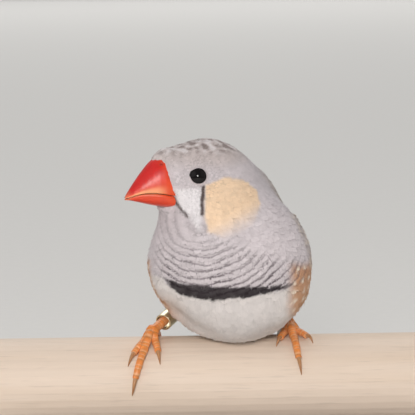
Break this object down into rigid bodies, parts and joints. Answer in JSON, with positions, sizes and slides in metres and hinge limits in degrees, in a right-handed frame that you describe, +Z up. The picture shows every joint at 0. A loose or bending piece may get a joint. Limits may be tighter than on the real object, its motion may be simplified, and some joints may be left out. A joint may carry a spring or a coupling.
{
  "type": "zebra finch",
  "caption": "Life-size still model of a male zebra finch in its pale silver form, fluffed up and gripping a cut length of dowel perch on a plain display stand.",
  "frame": {"origin": "centre of the underside of the stand's base", "axes": "+Z up, +X along the perch towards the bird's left, -Y out of the front of the bird"},
  "size_m": [0.11, 0.0812, 0.0853],
  "materials": {
    "plumage_head": "pale lavender-grey feathers, matt",
    "plumage_body": "grey breast and white belly feathers, matt",
    "plumage_leg": "white leg feathers, matt",
    "flight_feathers": "grey-brown vanes, satin",
    "bill_horn": "red horn, glossy",
    "eye": "dark and wet",
    "leg_scales": "orange scutes, satin",
    "claw_horn": "grey-brown horn",
    "ring_metal": "anodised, with bright edges",
    "perch_wood": "pale sanded dowel",
    "base_wood": "dark oiled wood",
    "stand_steel": "satin"
  },
  "bodies": {
    "root": {"head": "plumage_head", "neck": "plumage_body", "torso": "plumage_body", "thigh_left": "plumage_leg", "thigh_right": "plumage_leg", "wing_left": "flight_feathers", "wing_right": "flight_feathers", "tail": "flight_feathers", "bill_upper": "bill_horn", "bill_lower": "bill_horn", "eye_left": "eye", "eye_right": "eye", "tarsus_left": "leg_scales", "tarsus_right": "leg_scales", "foot_left": "leg_scales", "foot_right": "leg_scales", "claw_left_1": "claw_horn", "claw_left_2": "claw_horn", "claw_left_3": "claw_horn", "claw_left_4": "claw_horn", "claw_right_1": "claw_horn", "claw_right_2": "claw_horn", "claw_right_3": "claw_horn", "claw_right_4": "claw_horn", "leg_ring": "ring_metal", "perch": "perch_wood", "stand_base": "base_wood", "stand_rod_left": "stand_steel", "stand_rod_right": "stand_steel"}
  },
  "joints": []
}
